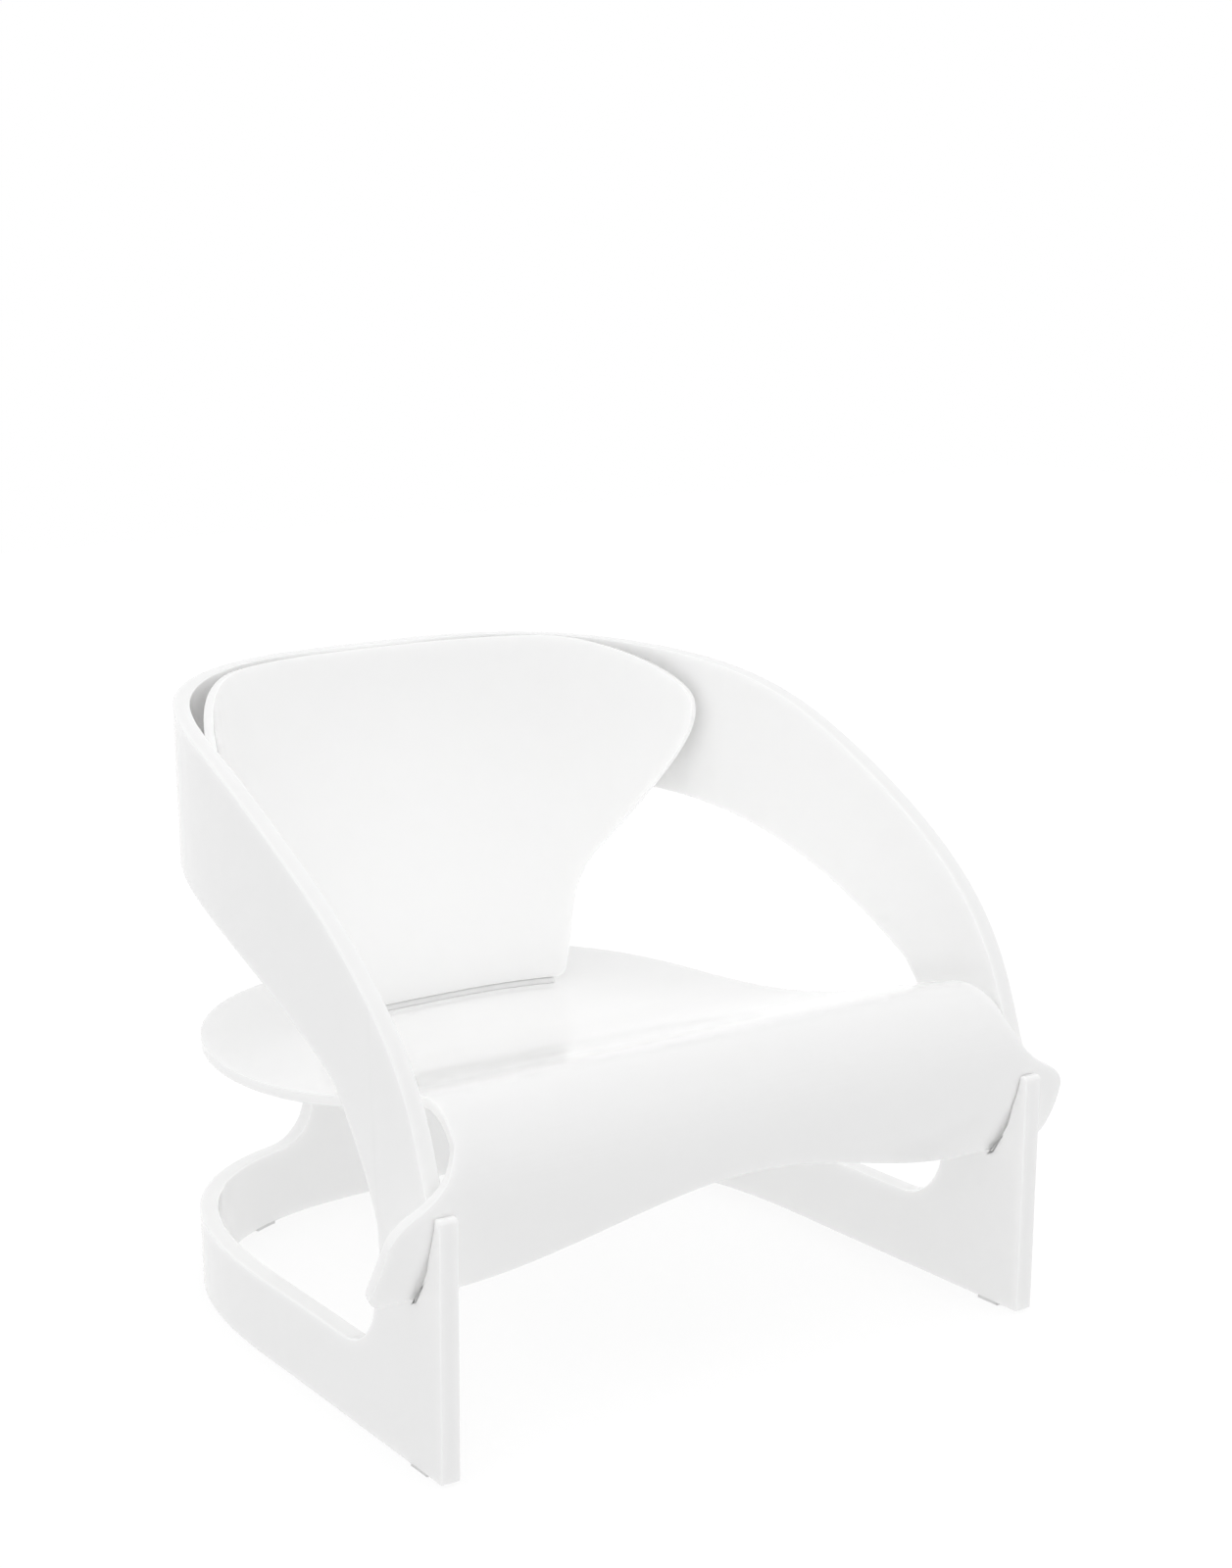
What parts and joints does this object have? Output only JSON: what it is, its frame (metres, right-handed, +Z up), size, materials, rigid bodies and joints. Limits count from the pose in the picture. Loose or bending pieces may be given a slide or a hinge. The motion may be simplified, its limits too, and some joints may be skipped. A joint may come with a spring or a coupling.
{
  "type": "armchair",
  "caption": "Low lounge armchair of interlocking curved plastic sheets: rolled seat, sweeping arm hoop, leaning back panel and horseshoe base.",
  "frame": {"origin": "on the floor, under the middle of the chair's width and depth", "axes": "+X to the right as seen from the front, +Y from the front feet to the rear, +Z up"},
  "size_m": [0.714, 0.7046, 0.58],
  "materials": {
    "white_plastic": "glossy white",
    "glide_plastic": "matt pale grey"
  },
  "bodies": {
    "root": {"base_frame": "white_plastic", "seat_shell": "white_plastic", "arm_hoop": "white_plastic", "back_panel": "white_plastic", "glide_front_left": "glide_plastic", "glide_front_right": "glide_plastic", "glide_rear_left": "glide_plastic", "glide_rear_right": "glide_plastic"}
  },
  "joints": []
}
